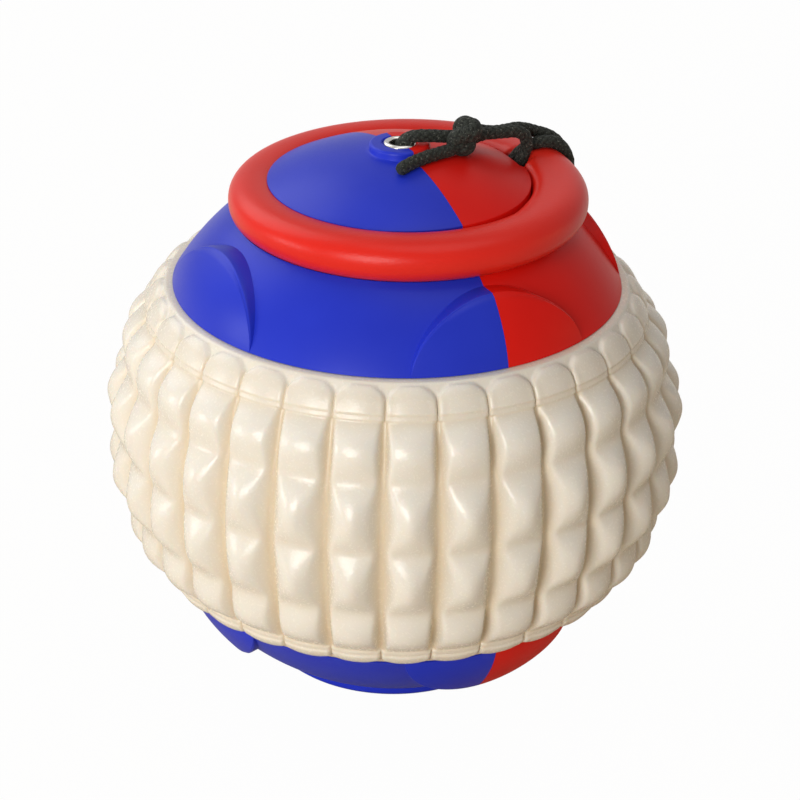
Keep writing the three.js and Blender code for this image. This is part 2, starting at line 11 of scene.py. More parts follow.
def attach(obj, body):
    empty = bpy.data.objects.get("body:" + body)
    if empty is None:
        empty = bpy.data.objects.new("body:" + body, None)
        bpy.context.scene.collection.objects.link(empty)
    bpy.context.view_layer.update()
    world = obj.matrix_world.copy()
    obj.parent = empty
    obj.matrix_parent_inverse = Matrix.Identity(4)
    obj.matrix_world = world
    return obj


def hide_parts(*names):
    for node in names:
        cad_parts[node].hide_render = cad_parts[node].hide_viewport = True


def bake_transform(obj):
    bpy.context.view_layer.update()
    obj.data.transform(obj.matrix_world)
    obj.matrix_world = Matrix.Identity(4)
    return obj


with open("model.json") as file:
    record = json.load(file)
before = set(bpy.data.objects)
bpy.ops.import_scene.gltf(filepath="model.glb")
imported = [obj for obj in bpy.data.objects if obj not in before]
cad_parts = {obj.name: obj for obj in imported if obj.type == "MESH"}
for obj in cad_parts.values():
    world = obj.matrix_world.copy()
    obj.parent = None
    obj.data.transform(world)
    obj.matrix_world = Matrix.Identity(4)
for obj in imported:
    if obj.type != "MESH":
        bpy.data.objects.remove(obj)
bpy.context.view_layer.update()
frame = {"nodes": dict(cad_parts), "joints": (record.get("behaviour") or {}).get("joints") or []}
scene = bpy.context.scene
joints = {joint["name"]: joint for joint in frame["joints"]}
mm = 0.001
centre = np.array(joints["reel_spin"]["pos_m"])      # middle of the ball, on the reel's axle
tau = 2 * math.pi
print("frame loaded:", len(frame["nodes"]), "nodes")


# Camera: on a line through the ball's centre, turned and raised as in the photograph
camera = dict(distance=430, azimuth=-28.0, elevation=27.7, lens=111.0, roll=-1.09, shift=(0.00675, 0.0196))


def viewAxes(azimuth, elevation):
    # right, up and back of a viewer who looks at the centre
    a, e = math.radians(azimuth), math.radians(elevation)
    back = np.array([math.sin(a) * math.cos(e), -math.cos(a) * math.cos(e), math.sin(e)])
    right = np.array([math.cos(a), math.sin(a), 0.0])
    return right, np.cross(back, right), back


viewRight, viewUp, viewBack = viewAxes(camera["azimuth"], camera["elevation"])


def addCamera():
    lens = bpy.data.cameras.new("photoCamera")
    lens.sensor_width = 36
    lens.lens = camera["lens"]
    lens.shift_x, lens.shift_y = camera["shift"]
    lens.clip_start = 0.01
    holder = bpy.data.objects.new("photoCamera", lens)
    turn = Matrix([viewRight, viewUp, viewBack]).transposed()
    roll = Matrix.Rotation(math.radians(-camera["roll"]), 3, "Z")
    stand = Vector(centre + viewBack * camera["distance"] * mm)
    holder.matrix_world = Matrix.Translation(stand) @ (turn @ roll).to_4x4()
    scene.collection.objects.link(holder)
    scene.camera = holder


addCamera()
print("camera set")


# One value, colour or vector in a material: operators add Math nodes, and node() adds any other kind
class Wire:
    def __init__(self, tree, socket=None):
        self.tree = tree
        self.socket = socket

    def node(self, kind, settings=None, sockets=None, output=0):
        made = self.tree.nodes.new("ShaderNode" + kind)
        for key, value in (settings or {}).items():
            setattr(made, key, value)
        for key, value in (sockets or {}).items():
            if isinstance(value, Wire):
                self.tree.links.new(value.socket, made.inputs[key])
            else:
                made.inputs[key].default_value = value
        return Wire(self.tree, made.outputs[output] if made.outputs else None)

    def maths(self, operation, *others, swapped=False):
        terms = [self, *others]
        if swapped:
            terms.reverse()
        return self.node("Math", {"operation": operation}, dict(enumerate(terms)))

    def __add__(self, other):
        return self.maths("ADD", other)

    def __sub__(self, other):
        return self.maths("SUBTRACT", other)

    def __rsub__(self, other):
        return self.maths("SUBTRACT", other, swapped=True)

    def __mul__(self, other):
        return self.maths("MULTIPLY", other)

    def __truediv__(self, other):
        return self.maths("DIVIDE", other)

    __radd__ = __add__
    __rmul__ = __mul__

    def clamped(self, low=0.0, high=1.0):
        return self.maths("MAXIMUM", low).maths("MINIMUM", high)


def rgb(red, green, blue):
    # a colour as seen on screen, turned to the linear light that shaders use
    screen = np.array([red, green, blue]) / 255
    linear = np.where(screen <= 0.04045, screen / 12.92, ((screen + 0.055) / 1.055) ** 2.4)
    return (*linear.tolist(), 1.0)


def newMaterial(name, constants):
    material = bpy.data.materials.new(name)
    material.use_nodes = True
    tree = material.node_tree
    shader = tree.nodes["Principled BSDF"]
    for key, value in constants.items():
        shader.inputs[key].default_value = value
    return material, Wire(tree), shader


def feed(shader, key, wire):
    wire.tree.links.new(wire.socket, shader.inputs[key])


def objectPoint(start):
    return start.node("TexCoord", output="Object")


def noise(start, point, scale, detail=2.0, roughness=0.5):
    sockets = {"Vector": point, "Scale": scale, "Detail": detail, "Roughness": roughness}
    return start.node("TexNoise", {}, sockets)


def blendColours(start, share, first, second):
    return start.node("Mix", {"data_type": "RGBA"}, {0: share, 6: first, 7: second}, output=2)


def bumped(start, height, distance, strength=1.0):
    return start.node("Bump", {}, {"Height": height, "Distance": distance, "Strength": strength})


# Moulded plastic: two close shades in soft drifts, a fine even grain, gloss that varies a little
plastic = dict(ior=1.47, driftScale=55.0, fineScale=3200.0, contrast=1.6, offset=0.3, fineGloss=0.12,
               driftGloss=0.06, bump=0.5)


def mouldedPlastic(name, deep, light, roughness, grain, specular=0.2):
    material, start, shader = newMaterial(name, {"IOR": plastic["ior"], "Specular IOR Level": specular})
    point = objectPoint(start)
    drift = noise(start, point, plastic["driftScale"], 3.0)
    fine = noise(start, point, plastic["fineScale"], 1.0)
    share = (drift * plastic["contrast"] - plastic["offset"]).clamped()
    feed(shader, "Base Color", blendColours(start, share, deep, light))
    gloss = roughness + (fine - 0.5) * plastic["fineGloss"] + (drift - 0.5) * plastic["driftGloss"]
    feed(shader, "Roughness", gloss)
    feed(shader, "Normal", bumped(start, fine, grain * mm, plastic["bump"]))
    return material


bluePlastic = mouldedPlastic("bluePlastic", rgb(31, 49, 190), rgb(39, 58, 203), 0.36, 0.012, 0.26)
redPlastic = mouldedPlastic("redPlastic", rgb(222, 24, 16), rgb(232, 31, 22), 0.38, 0.012, 0.16)
ringRed = mouldedPlastic("ringRed", rgb(226, 36, 24), rgb(236, 45, 31), 0.31, 0.06, 0.26)
innerPlastic = mouldedPlastic("innerPlastic", rgb(206, 206, 200), rgb(220, 220, 214), 0.48, 0.03)


# Cream rubber: painted shade, darker and warmer between the ribs, a fine grain, a soft gloss
rubber = dict(driftScale=90.0, fineScale=2400.0, ribContrast=1.1, driftContrast=0.3, roughness=0.24,
              fineGloss=0.3, grain=0.06, bump=0.7)


def creamRubber():
    material, start, shader = newMaterial("creamRubber", {
        "IOR": 1.5, "Specular IOR Level": 0.5, "Subsurface Weight": 0.2,
        "Subsurface Radius": (1.0, 0.62, 0.38), "Subsurface Scale": 0.0014})
    point = objectPoint(start)
    height = start.node("Attribute", {"attribute_name": "paintedLightShare"}, output="Fac")
    drift = noise(start, point, rubber["driftScale"], 3.0)
    fine = noise(start, point, rubber["fineScale"], 2.0)
    # the valley colour is painted shade, darker and warmer than the crest colour, which is the rubber's own;
    # the share between them is painted light, low in the valleys
    valley, crest = rgb(226, 208, 179), rgb(240, 233, 220)
    share = (height * rubber["ribContrast"] + (drift - 0.5) * rubber["driftContrast"]).clamped()
    feed(shader, "Base Color", blendColours(start, share, valley, crest))
    feed(shader, "Roughness", rubber["roughness"] + (fine - 0.5) * rubber["fineGloss"])
    feed(shader, "Normal", bumped(start, fine, rubber["grain"] * mm, rubber["bump"]))
    return material


# Braided cord: two families of strands that cross, with painted shade that darkens the gaps between them,
# and pale lint. A wave has its rate along the cord, its turns round it and its start. End measures are
# shares of the diameter.
braid = dict(strands=6, length=1.3, relief=0.06, lumps=0.03, power=0.7, shoulder=0.6,
             waves=[(2.3, 1, 0.0), (3.7, -2, 1.3), (5.9, 3, 0.4)],
             endLength=0.35, endRound=0.7, endDimple=0.12)
yarnLook = dict(yarnScale=4200.0, lintScale=2300.0, lintFrom=0.575, lintEdge=9, lintShare=0.6,
                ridgeShade=0.55, yarnShade=2.2, leastShade=0.1, roughness=0.5, yarnGloss=0.3,
                ridgeBump=0.5, yarnBump=0.9, relief=0.22, bump=0.9)


def braidCells(around, along):
    # cell coordinates of the two strand families at a turn around the cord and a length along it
    turn, run = around * braid["strands"], along / braid["length"]
    return turn + run, turn - run


def cordMaterial(name, upright):
    material, start, shader = newMaterial(name, {
        "IOR": 1.45, "Specular IOR Level": 0.3, "Sheen Weight": 0.04, "Sheen Roughness": 0.45})
    point = objectPoint(start)
    chart = point if upright else start.node("UVMap", {"uv_map": "braid"})
    axes = [start.node("SeparateXYZ", {}, {0: chart}, output=k) for k in range(3)]
    if upright:
        around, along = axes[0].maths("ARCTAN2", axes[1]) / tau, axes[2] / mm
    else:
        around, along = axes[0], axes[1]
    one, two = braidCells(around, along)
    odd = ((one.maths("FLOOR") + two.maths("FLOOR")) / 2).maths("FRACT") * 2
    ridgeOne = (one.maths("FRACT") * math.pi).maths("SINE")
    ridgeTwo = (two.maths("FRACT") * math.pi).maths("SINE")
    ridge = (ridgeOne * (1 - odd) + ridgeTwo * odd).clamped()
    look = yarnLook
    yarn = noise(start, point, look["yarnScale"], 3.0)
    fluff = noise(start, point, look["lintScale"], 4.0, 0.75)
    lint = ((fluff - look["lintFrom"]) * look["lintEdge"]).clamped()
    # painted shade: each strand darkens towards its edges, in the gaps of the braid; the yarn noise adds the
    # strands' own uneven tone
    shade = (ridge * look["ridgeShade"] + (yarn - 0.5) * look["yarnShade"] + look["leastShade"]).clamped()
    strand = blendColours(start, shade, rgb(3, 5, 3), rgb(54, 58, 50))
    feed(shader, "Base Color", blendColours(start, lint * look["lintShare"], strand, rgb(160, 160, 148)))
    feed(shader, "Roughness", look["roughness"] + yarn * look["yarnGloss"])
    height = ridge * look["ridgeBump"] + yarn * look["yarnBump"]
    feed(shader, "Normal", bumped(start, height, look["relief"] * mm, look["bump"]))
    return material


# Metal: a fine grain in the colour and the gloss
metalLook = dict(grainScale=1500.0, darker=0.86, grainGloss=0.14)


def metal(name, colour, roughness):
    material, start, shader = newMaterial(name, {"Metallic": 1.0})
    grain = noise(start, objectPoint(start), metalLook["grainScale"], 3.0)
    tone = tuple(metalLook["darker"] * part for part in colour[:3]) + (1.0,)
    feed(shader, "Base Color", blendColours(start, grain, tone, colour))
    feed(shader, "Roughness", roughness + (grain - 0.5) * metalLook["grainGloss"])
    return material


creamSleeve = creamRubber()
blackCord = cordMaterial("blackCord", False)
uprightCord = cordMaterial("uprightCord", True)
nickel = metal("nickel", rgb(240, 237, 230), 0.24)
steel = metal("steel", rgb(176, 178, 182), 0.34)
print("materials made")


# A mesh from grids of points: each grid is rows x columns x 3, wrapped round its columns or rows where
# asked. Points within mergeWithin metres are merged, which closes seams and poles, and the faces are
# turned outwards.
mergeWithin, slimEdge = 1e-6, 1e-7


def gridFaces(rows, columns, wrapColumns, wrapRows, first):
    i = np.arange(rows if wrapRows else rows - 1)[:, None]
    j = np.arange(columns if wrapColumns else columns - 1)[None, :]
    up, side = (i + 1) % rows, (j + 1) % columns
    corners = [i * columns + j, i * columns + side, up * columns + side, up * columns + j]
    return first + np.stack([np.broadcast_to(c, (i.size, j.size)) for c in corners], -1).reshape(-1, 4)


def addMesh(name, grids, material, wrap=(False, False), values=None, chart=None, sharp=None):
    counts = [grid.shape[0] * grid.shape[1] for grid in grids]
    firsts = np.concatenate([[0], np.cumsum(counts)[:-1]])
    points = np.concatenate([grid.reshape(-1, 3) for grid in grids])
    faces = np.concatenate([gridFaces(*grid.shape[:2], *wrap, first) for grid, first in zip(grids, firsts)])
    mesh = bpy.data.meshes.new(name)
    mesh.vertices.add(len(points))
    mesh.vertices.foreach_set("co", (points * mm + centre).astype(np.float32).ravel())
    mesh.loops.add(faces.size)
    mesh.loops.foreach_set("vertex_index", faces.astype(np.int32).ravel())
    mesh.polygons.add(len(faces))
    mesh.polygons.foreach_set("loop_start", np.arange(0, faces.size, 4, dtype=np.int32))
    mesh.update(calc_edges=True)
    for key, array in (values or {}).items():
        layer = mesh.attributes.new(key, "FLOAT", "POINT")
        layer.data.foreach_set("value", array.astype(np.float32).ravel())
    if chart is not None:
        mesh.uv_layers.new(name="braid").data.foreach_set("uv", chart.astype(np.float32).ravel())
    closeMesh(mesh)
    mesh.polygons.foreach_set("use_smooth", np.ones(len(mesh.polygons), dtype=bool))
    if sharp:
        mesh.set_sharp_from_angle(angle=math.radians(sharp))
    mesh.materials.append(material)
    piece = bpy.data.objects.new(name, mesh)
    scene.collection.objects.link(piece)
    return piece


def closeMesh(mesh):
    shape = bmesh.new()
    shape.from_mesh(mesh)
    bmesh.ops.remove_doubles(shape, verts=shape.verts, dist=mergeWithin)
    bmesh.ops.dissolve_degenerate(shape, edges=shape.edges, dist=slimEdge)
    bmesh.ops.recalc_face_normals(shape, faces=shape.faces)
    shape.to_mesh(mesh)
    shape.free()


def place(piece, body, slotName, *replaced):
    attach(piece, body)
    if replaced:
        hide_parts(*replaced)
    return piece


# A profile of (radius, height) rows turned about the upright axis: x = r cos a, y = r sin a
def lathe(profile, angles):
    profile = np.asarray(profile, float)
    r, z = profile[:, 0, None], profile[:, 1, None]
    heights = np.broadcast_to(z, (len(profile), angles.size))
    return np.stack([r * np.cos(angles), r * np.sin(angles), heights], -1)


def ringAngles(count):
    # equal steps once round
    return np.arange(count) * tau / count


# Rows of (radius, height) on an arc, by degrees from outwards towards up
def arcRows(middle, radius, start, end, count):
    angles = np.linspace(math.radians(start), math.radians(end), count)
    return np.stack([middle[0] + radius * np.cos(angles), middle[1] + radius * np.sin(angles)], -1)


def smoothStep(low, high, value):
    # 0 below low, 1 above high, and 3 t^2 - 2 t^3 between
    t = np.clip((value - low) / (high - low), 0, 1)
    return t * t * (3 - 2 * t)


# A curve through given points: cubic pieces whose knots are spaced by the root of each span
def smoothPath(points, spacing, dense=6000):
    points = np.asarray(points, float)
    points = np.concatenate([[2 * points[0] - points[1]], points, [2 * points[-1] - points[-2]]])
    knots = np.concatenate([[0], np.cumsum(np.sqrt(np.linalg.norm(np.diff(points, axis=0), axis=1)))])
    at = np.linspace(knots[1], knots[-2], dense)
    k = np.clip(np.searchsorted(knots, at, side="right") - 1, 1, len(points) - 3)
    t = [knots[k + step] for step in (-1, 0, 1, 2)]
    p = [points[k + step] for step in (-1, 0, 1, 2)]

    def mix(first, second, low, high):
        share = ((at - low) / (high - low))[:, None]
        return first * (1 - share) + second * share

    a = [mix(p[i], p[i + 1], t[i], t[i + 1]) for i in range(3)]
    b = [mix(a[i], a[i + 1], t[i], t[i + 2]) for i in range(2)]
    return evenly(mix(b[0], b[1], t[1], t[2]), spacing)


def runAlong(path):
    # length of the path up to each of its points
    return np.concatenate([[0], np.cumsum(np.linalg.norm(np.diff(path, axis=0), axis=1))])


def evenly(dense, spacing):
    # the same path at equal lengths, about spacing apart
    run = runAlong(dense)
    steps = np.linspace(0, run[-1], max(int(round(run[-1] / spacing)), 8) + 1)
    return np.stack([np.interp(steps, run, dense[:, axis]) for axis in range(3)], -1)


# How far a braided cord's surface stands out at each place: the strand that lies on top in a cell of the
# braid is highest along its own middle, and slow waves make the cord uneven
def braidRadius(around, along):
    one, two = braidCells(around, along)
    crossOne, crossTwo = np.sin(math.pi * (one % 1)), np.sin(math.pi * (two % 1))
    top = (np.floor(one) + np.floor(two)) % 2 == 0
    power, shoulder = braid["power"], braid["shoulder"]
    over = crossOne ** power * (shoulder + (1 - shoulder) * crossTwo)
    under = crossTwo ** power * (shoulder + (1 - shoulder) * crossOne)
    ridge = np.where(top, over, under)
    waves = sum(np.sin(rate * along + turns * tau * around + start) for rate, turns, start in braid["waves"])
    waves = waves / len(braid["waves"])
    return 1 - braid["relief"] + 2 * braid["relief"] * ridge + braid["lumps"] * waves


# A braided tube along a path. Frames stand square to the path, measured from one steady direction that the
# path never follows. Open ends are rounded over, with a dimple in the cut face.
def braidedTube(name, path, diameter, steady, closed=False, columns=48, rough=1.0, material=blackCord):
    ahead = np.gradient(np.concatenate([path[-3:], path, path[:3]]), axis=0)[3:-3] if closed \
        else np.gradient(path, axis=0)
    ahead /= np.linalg.norm(ahead, axis=1, keepdims=True)
    side = steady - (ahead @ steady)[:, None] * ahead
    side /= np.linalg.norm(side, axis=1, keepdims=True)
    other = np.cross(ahead, side)
    along = runAlong(path)
    around = np.arange(columns) / columns
    radius = diameter / 2 * (1 + rough * (braidRadius(around[None, :], along[:, None]) - 1))
    if not closed:
        fromEnd = np.minimum(along, along[-1] - along) / (braid["endLength"] * diameter)
        radius = radius * np.sqrt(1 - braid["endRound"] * np.clip(1 - fromEnd, 0, 1) ** 2)[:, None]
    turn = around[None, :, None] * tau
    outward = np.cos(turn) * side[:, None] + np.sin(turn) * other[:, None]
    points = path[:, None] + radius[..., None] * outward
    if not closed:
        inset = braid["endDimple"] * diameter
        caps = [path[0] + inset * ahead[0], path[-1] - inset * ahead[-1]]
        caps = [np.repeat(cap[None, None], columns, 1) for cap in caps]
        points = np.concatenate([caps[0], points, caps[1]])
        along = np.concatenate([along[:1], along, along[-1:]])
    low = along if closed else along[:-1]
    high = np.concatenate([along[1:], along[-1:] + along[1:2]]) if closed else along[1:]
    edges = np.arange(columns + 1)[None, :] / columns
    left, right, low, high = edges[:, :-1], edges[:, 1:], low[:, None], high[:, None]
    corners = [(left, low), (right, low), (right, high), (left, high)]
    chart = np.stack([np.stack(np.broadcast_arrays(u, v), -1) for u, v in corners], 2)
    return addMesh(name, [points], material, (True, closed), chart=chart)


# The cord: out of the eyelet, through the knot, twice round the ring, back through the knot to a cut end
cord = dict(diameter=2.1, spacing=0.15, hiddenSpacing=0.3, woundSpacing=0.4,
            lead=[(0, 0, 48.7), (0.05, 0, 49.6), (0.35, -0.35, 50.9), (1.3, -1.25, 52),
                  (3.4, -2.3, 52.3), (5.4, -2.7, 52.05), (7.3, -2.9, 51.75)],
            knotIn=[(9.6, -2.6, 51.2), (12.6, -0.9, 51.0)],
            loop=[(15.3, 0.35, 50.3), (17.8, 0.25, 49.75), (20.4, 0.65, 49.45), (22.9, 1.3, 49.2),
                  (25.2, 1.8, 48.5), (27.4, 1.95, 47.6), (29.7, 1.95, 46.6), (31.6, 1.95, 45.1),
                  (32.7, 2.05, 43.2), (32.9, 2.2, 41.2), (31.3, 2.2, 37.5), (27.5, 2.1, 36),
                  (23.5, 1.8, 37.4), (22.2, 1.5, 41.2), (22.6, 1.3, 43.4), (24, 0.95, 45.1),
                  (26, 0.3, 46.25), (28, -0.15, 46.5), (29.9, -0.25, 46), (31.4, -0.25, 44.8),
                  (32.4, -0.3, 43), (32.7, -0.3, 41.2), (31.1, -0.4, 37.5), (27.4, -0.6, 36),
                  (23.5, -0.9, 37.4), (22.2, -1.15, 41.2), (22.3, -1.25, 43.2), (22.9, -1.3, 45),
                  (23.6, -1.3, 46.9), (23.1, -1.3, 48.7), (21.4, -1.45, 49.8), (19.4, -1.75, 50.2),
                  (17.2, -2.05, 50.5), (14.8, -2.15, 50.7)],
            knotOut=[(12.2, -2.7, 50.6), (9.4, -3.9, 50.4)],
            tail=[(6.9, -5, 50.25), (5, -5.6, 50.3), (3.2, -6.1, 50.35), (1.2, -6.6, 50.35),
                  (-1.8, -7.5, 50.2), (-4.65, -8.6, 49.85)],
            run=[(6.3, 11.3, 17.4), (5.3, 9.6, 21.1), (4.4, 8, 24.7), (2.2, 4, 33.3), (0.9, 1.6, 38.5),
                 (0.2, 0.4, 41.4), (0, 0, 43.6), (0, 0, 46), (0, 0, 48.7)],
            hiddenRough=0.3, payOut=(44.0, 48.5))
knot = dict(middle=(9.8, -4.2, 51.9), tall=1.85, wide=1.05, deep=0.9, lean=24.0, diameter=2.9,
            points=260)
winding = dict(turns=6, pitch=2.55, radius=17.35, runBend=42.0, points=1600, columns=24)


def knotPath():
    # a tight figure of eight seen from the front, two lumps one above the other: y = tall sin t,
    # x = wide sin 2t, and z = deep cos t lifts one strand over the other
    t = ringAngles(knot["points"])
    x, y, z = knot["wide"] * np.sin(2 * t), knot["tall"] * np.sin(t), knot["deep"] * np.cos(t)
    lean = math.radians(knot["lean"])
    across = x * math.cos(lean) + y * math.sin(lean)
    upward = y * math.cos(lean) - x * math.sin(lean)
    frameAxes = np.stack([viewRight, viewUp, viewBack])
    return np.array(knot["middle"]) + np.stack([across, upward, z], -1) @ frameAxes


def windingPath():
    # a helix about the reel's axle, X: one pitch to the side for each turn
    start = math.asin(winding["radius"] / winding["runBend"])
    turned = np.linspace(0, tau * winding["turns"], winding["points"])
    x = winding["pitch"] * (turned / tau - winding["turns"] / 2)
    y, z = np.cos(start + turned), np.sin(start + turned)
    return np.stack([x, winding["radius"] * y, winding["radius"] * z], -1)


def addCords():
    route = cord["lead"] + cord["knotIn"] + cord["loop"] + cord["knotOut"] + cord["tail"]
    path = smoothPath(route, cord["spacing"])
    length, diameter = float(runAlong(path)[-1]), cord["diameter"]
    pullCord = place(braidedTube("pullCord", path, diameter, np.array([0.0, 1.0, 0.0])),
                     "pull_cord", "black_cord", "cord_lead", "cord_loop", "cord_tail")
    lump = place(braidedTube("cordKnot", knotPath(), knot["diameter"], viewBack, closed=True),
                 "pull_cord", "black_cord", "cord_knot")
    sideways = np.array([1.0, 0.0, 0.0])
    run = braidedTube("cordRunUp", smoothPath(cord["run"], cord["hiddenSpacing"]), diameter, sideways,
                      rough=cord["hiddenRough"], material=uprightCord)
    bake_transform(run)
    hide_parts("cord_run")
    wound = evenly(windingPath(), cord["woundSpacing"])
    place(braidedTube("cordWound", wound, diameter, sideways, columns=winding["columns"]),
          "reel", "black_cord", "cord_winding")
    print("cords made, free length", round(length, 1), "mm")


addCords()


# The ball's turned shape, which the ring lies against
body = dict(radius=44.3, lift=3.57, lip=26.5, belt=43.2, wall=2.6, dome=47.5, domeLift=2.3, domeRim=21.9,
            rimEdge=0.2, leastWall=0.04, lowDome=46.0, lowLift=3.0, lowerRim=22.3, foot=11.28, footEdge=0.8,
            seam=0.02, lipInside=36.2, lipThick=0.1, lipRound=(0.25, 0.06), sharp=32)


# The pull ring: a flattened bar bent to a circle. It lies a little off the middle with one side raised, and
# tucks under the dome's rim on the other side. Where the cord goes round it, it is nipped in and stands a
# little taller. Angles are in degrees.
ring = dict(radius=25.4, wide=4.6, tall=3.55, full=2.3, height=41.2, shift=(1.62, -0.33), lean=0.9,
            raised=-50.0, besideRim=0.25, besideFade=(-0.35, 0.1), fuller=1.7, nip=1.1, nipEnds=(5.6, 8.5),
            taller=0.4, tallerAngle=13.0, around=360, across=64)


def ringSection(angle):
    # the bar at an angle round the ball: middle radius and height, half widths outwards and inwards, and
    # half height
    degrees = np.abs(np.degrees(angle))
    x, y = ring["shift"]
    middle = ring["radius"] + x * np.cos(angle) + y * np.sin(angle)
    slope = math.tan(math.radians(ring["lean"])) * np.cos(angle - math.radians(ring["raised"]))
    inward = np.maximum(ring["wide"], middle - body["domeRim"] - ring["besideRim"])
    inward = inward - ring["nip"] * (1 - smoothStep(*ring["nipEnds"], degrees))
    tall = ring["tall"] + ring["taller"] * np.exp(-(degrees / ring["tallerAngle"]) ** 2)
    return middle, ring["height"] + ring["radius"] * slope, ring["wide"], inward, tall


def fullness(b, power=ring["full"]):
    # an oval fuller than an ellipse: its reach at b is (|cos b|^n + |sin b|^n)^(-1/n) of the half sizes
    return (np.abs(np.cos(b)) ** power + np.abs(np.sin(b)) ** power) ** (-1 / power)


def addRing():
    # the oval of the bar, carried round the ball: r = middle + half width x cos b, and
    # z = height + half height x sin b
    a = ringAngles(ring["around"])
    a = np.where(a > math.pi, a - tau, a)[None, :]
    b = ringAngles(ring["across"])[:, None]
    middle, height, wide, inward, tall = ringSection(a)
    # its upper inner side is fuller where it lies beside the dome's rim and not under it
    beside = smoothStep(*ring["besideFade"], middle - body["domeRim"] - ring["besideRim"] - wide)
    upperInner = (np.cos(b) < 0) & (np.sin(b) > 0)
    reach = fullness(b, ring["full"] + ring["fuller"] * beside * upperInner)
    r = middle + np.where(np.cos(b) > 0, wide, inward) * reach * np.cos(b)
    points = np.stack([r * np.cos(a), r * np.sin(a), height + tall * reach * np.sin(b)], -1)
    place(addMesh("pullRing", [points], ringRed, (True, True)), "ring", "red_rubber", "pull_ring")
    print("ring made")


addRing()


# The two halves: a turned profile with arch pads above and below the sleeve
pads = dict(halfAngle=24.2, crest=36.95, ledge=3.1, bulge=0.9, edge=0.42, edgeShare=0.45)
seat = dict(gap=0.08, deeper=0.8, deeperAngle=20.0, trials=1801, rows=36)
collar = dict(radius=5.05, top=50.95, edge=0.55, foot=0.14, bore=2.55, sink=3.0, sinkDepth=0.35,
              sinkFlare=0.12, sinkBevel=0.1, sinkDraft=0.05)
slot = dict(inner=20.45, half=4.5, floor=34.7, wall=1.8, corner=1.2, end=60.0, spare=1, fromLean=0.6)
room = dict(radius=15.5, ceiling=46.52, fromSine=0.3, leastSine=1e-3)


# Radius of a sphere's circle at a height, and its height at a radius, with its centre lifted on the axis
def sphereRadius(radius, lift, z):
    return np.sqrt(np.maximum(radius ** 2 - (z - lift) ** 2, 0))


def sphereHeight(radius, lift, r):
    return lift + np.sqrt(radius ** 2 - r ** 2)


def bodyRadius(z):
    return sphereRadius(body["radius"], body["lift"], z)


def domeHeight(r):
    return sphereHeight(body["dome"], body["domeLift"], r)


def padRadius(z):
    # a chord from the lip to the pad's crest, swollen in its middle
    lipR, crestR = bodyRadius(body["lip"]), bodyRadius(pads["crest"]) + pads["ledge"]
    t = (z - body["lip"]) / (pads["crest"] - body["lip"])
    return lipR + (crestR - lipR) * t + 4 * pads["bulge"] * t * (1 - t)


def halfColumns():
    # angles from the seam round to the seam, and the height of the pads' arch over the lip at each (0 to 1)
    reach = pads["halfAngle"]
    psi = np.radians(np.linspace(-90, 90, 41))
    full = np.stack([reach * np.sin(psi), np.cos(psi)], -1)
    between = np.linspace(reach, 90 - reach, 26)[1:-1]
    gap = np.stack([between, np.zeros_like(between)], -1)
    endHalf = full[:21] + np.array([90, 0])
    flip = np.array([-1, 1])
    columns = np.concatenate([endHalf[::-1] * flip, gap[::-1] * flip, full, gap, endHalf])
    return np.radians(columns[:, 0]), np.maximum(columns[:, 1], 0)


def allRound(rows, count):
    # rows of (radius, height) that are alike all the way round
    return np.repeat(np.asarray(rows, float)[:, None, :], count, axis=1)


def pairs(r, z):
    # (radius, height) rows from radii and heights
    return np.stack(np.broadcast_arrays(r, z), -1)


def lipToBody(arch, top):
    # lip, pad face, rounded pad edge, ledge, then the plain body up to the height top
    lip, edge = body["lip"], pads["edge"]
    crest = lip + (pads["crest"] - lip) * arch
    rounding = np.minimum(edge, pads["edgeShare"] * (crest - lip))
    outer, base = padRadius(crest), bodyRadius(crest)
    turn = np.minimum(rounding, pads["edgeShare"] * np.maximum(outer - base, 0))
    up = np.linspace(0, 1, 16)[:, None]
    face = lip + (crest - rounding - lip) * up
    bend = np.radians([25, 45, 65, 90])[:, None]
    inward = np.array([0.35, 0.7, 0.92, 1.0])[:, None]
    plain = crest + (top - crest) * np.linspace(0, 1, 26)[1:, None]
    return np.concatenate([
        pairs(padRadius(face), face),
        pairs(outer - turn * (1 - np.cos(bend)), crest - rounding * (1 - np.sin(bend))),
        pairs(outer - turn - (outer - turn - base) * inward, crest),
        pairs(bodyRadius(plain), plain)])


def seatRows(angle):
    # the ring's seat: an oval round the bar, from the body down under it and up its inner side to the
    # dome's rim. Its ends are the first of many trial angles past the body's sphere and past the rim.
    middle, height, wide, inward, tall = ringSection(angle)
    wide, tall, rim = wide + seat["gap"], tall + seat["gap"], body["domeRim"]
    # it is deeper beside the cord, where the ring rolls over
    deep = tall + seat["deeper"] * np.exp(-(np.degrees(angle) / seat["deeperAngle"]) ** 2)
    inward = np.maximum(inward + seat["gap"], middle - rim)
    trial = np.radians(np.linspace(-90, 0, seat["trials"]))[:, None]
    reach = fullness(trial)
    outside = np.hypot(middle + wide * reach * np.cos(trial),
                       height + deep * reach * np.sin(trial) - body["lift"]) > body["radius"]
    start = trial[outside.argmax(0), 0]
    trial = np.radians(np.linspace(-180, -270, seat["trials"]))[:, None]
    reached = middle + inward * fullness(trial) * np.cos(trial) >= rim - 1e-6
    end = trial[reached.argmax(0), 0]
    turn = start + (end - start) * np.linspace(0, 1, seat["rows"])[:, None]
    reach = fullness(turn)
    across = np.where(np.cos(turn) > 0, wide, inward) * reach * np.cos(turn)
    upward = np.where(np.sin(turn) < 0, deep, tall) * reach * np.sin(turn)
    return pairs(middle + across, height + upward)


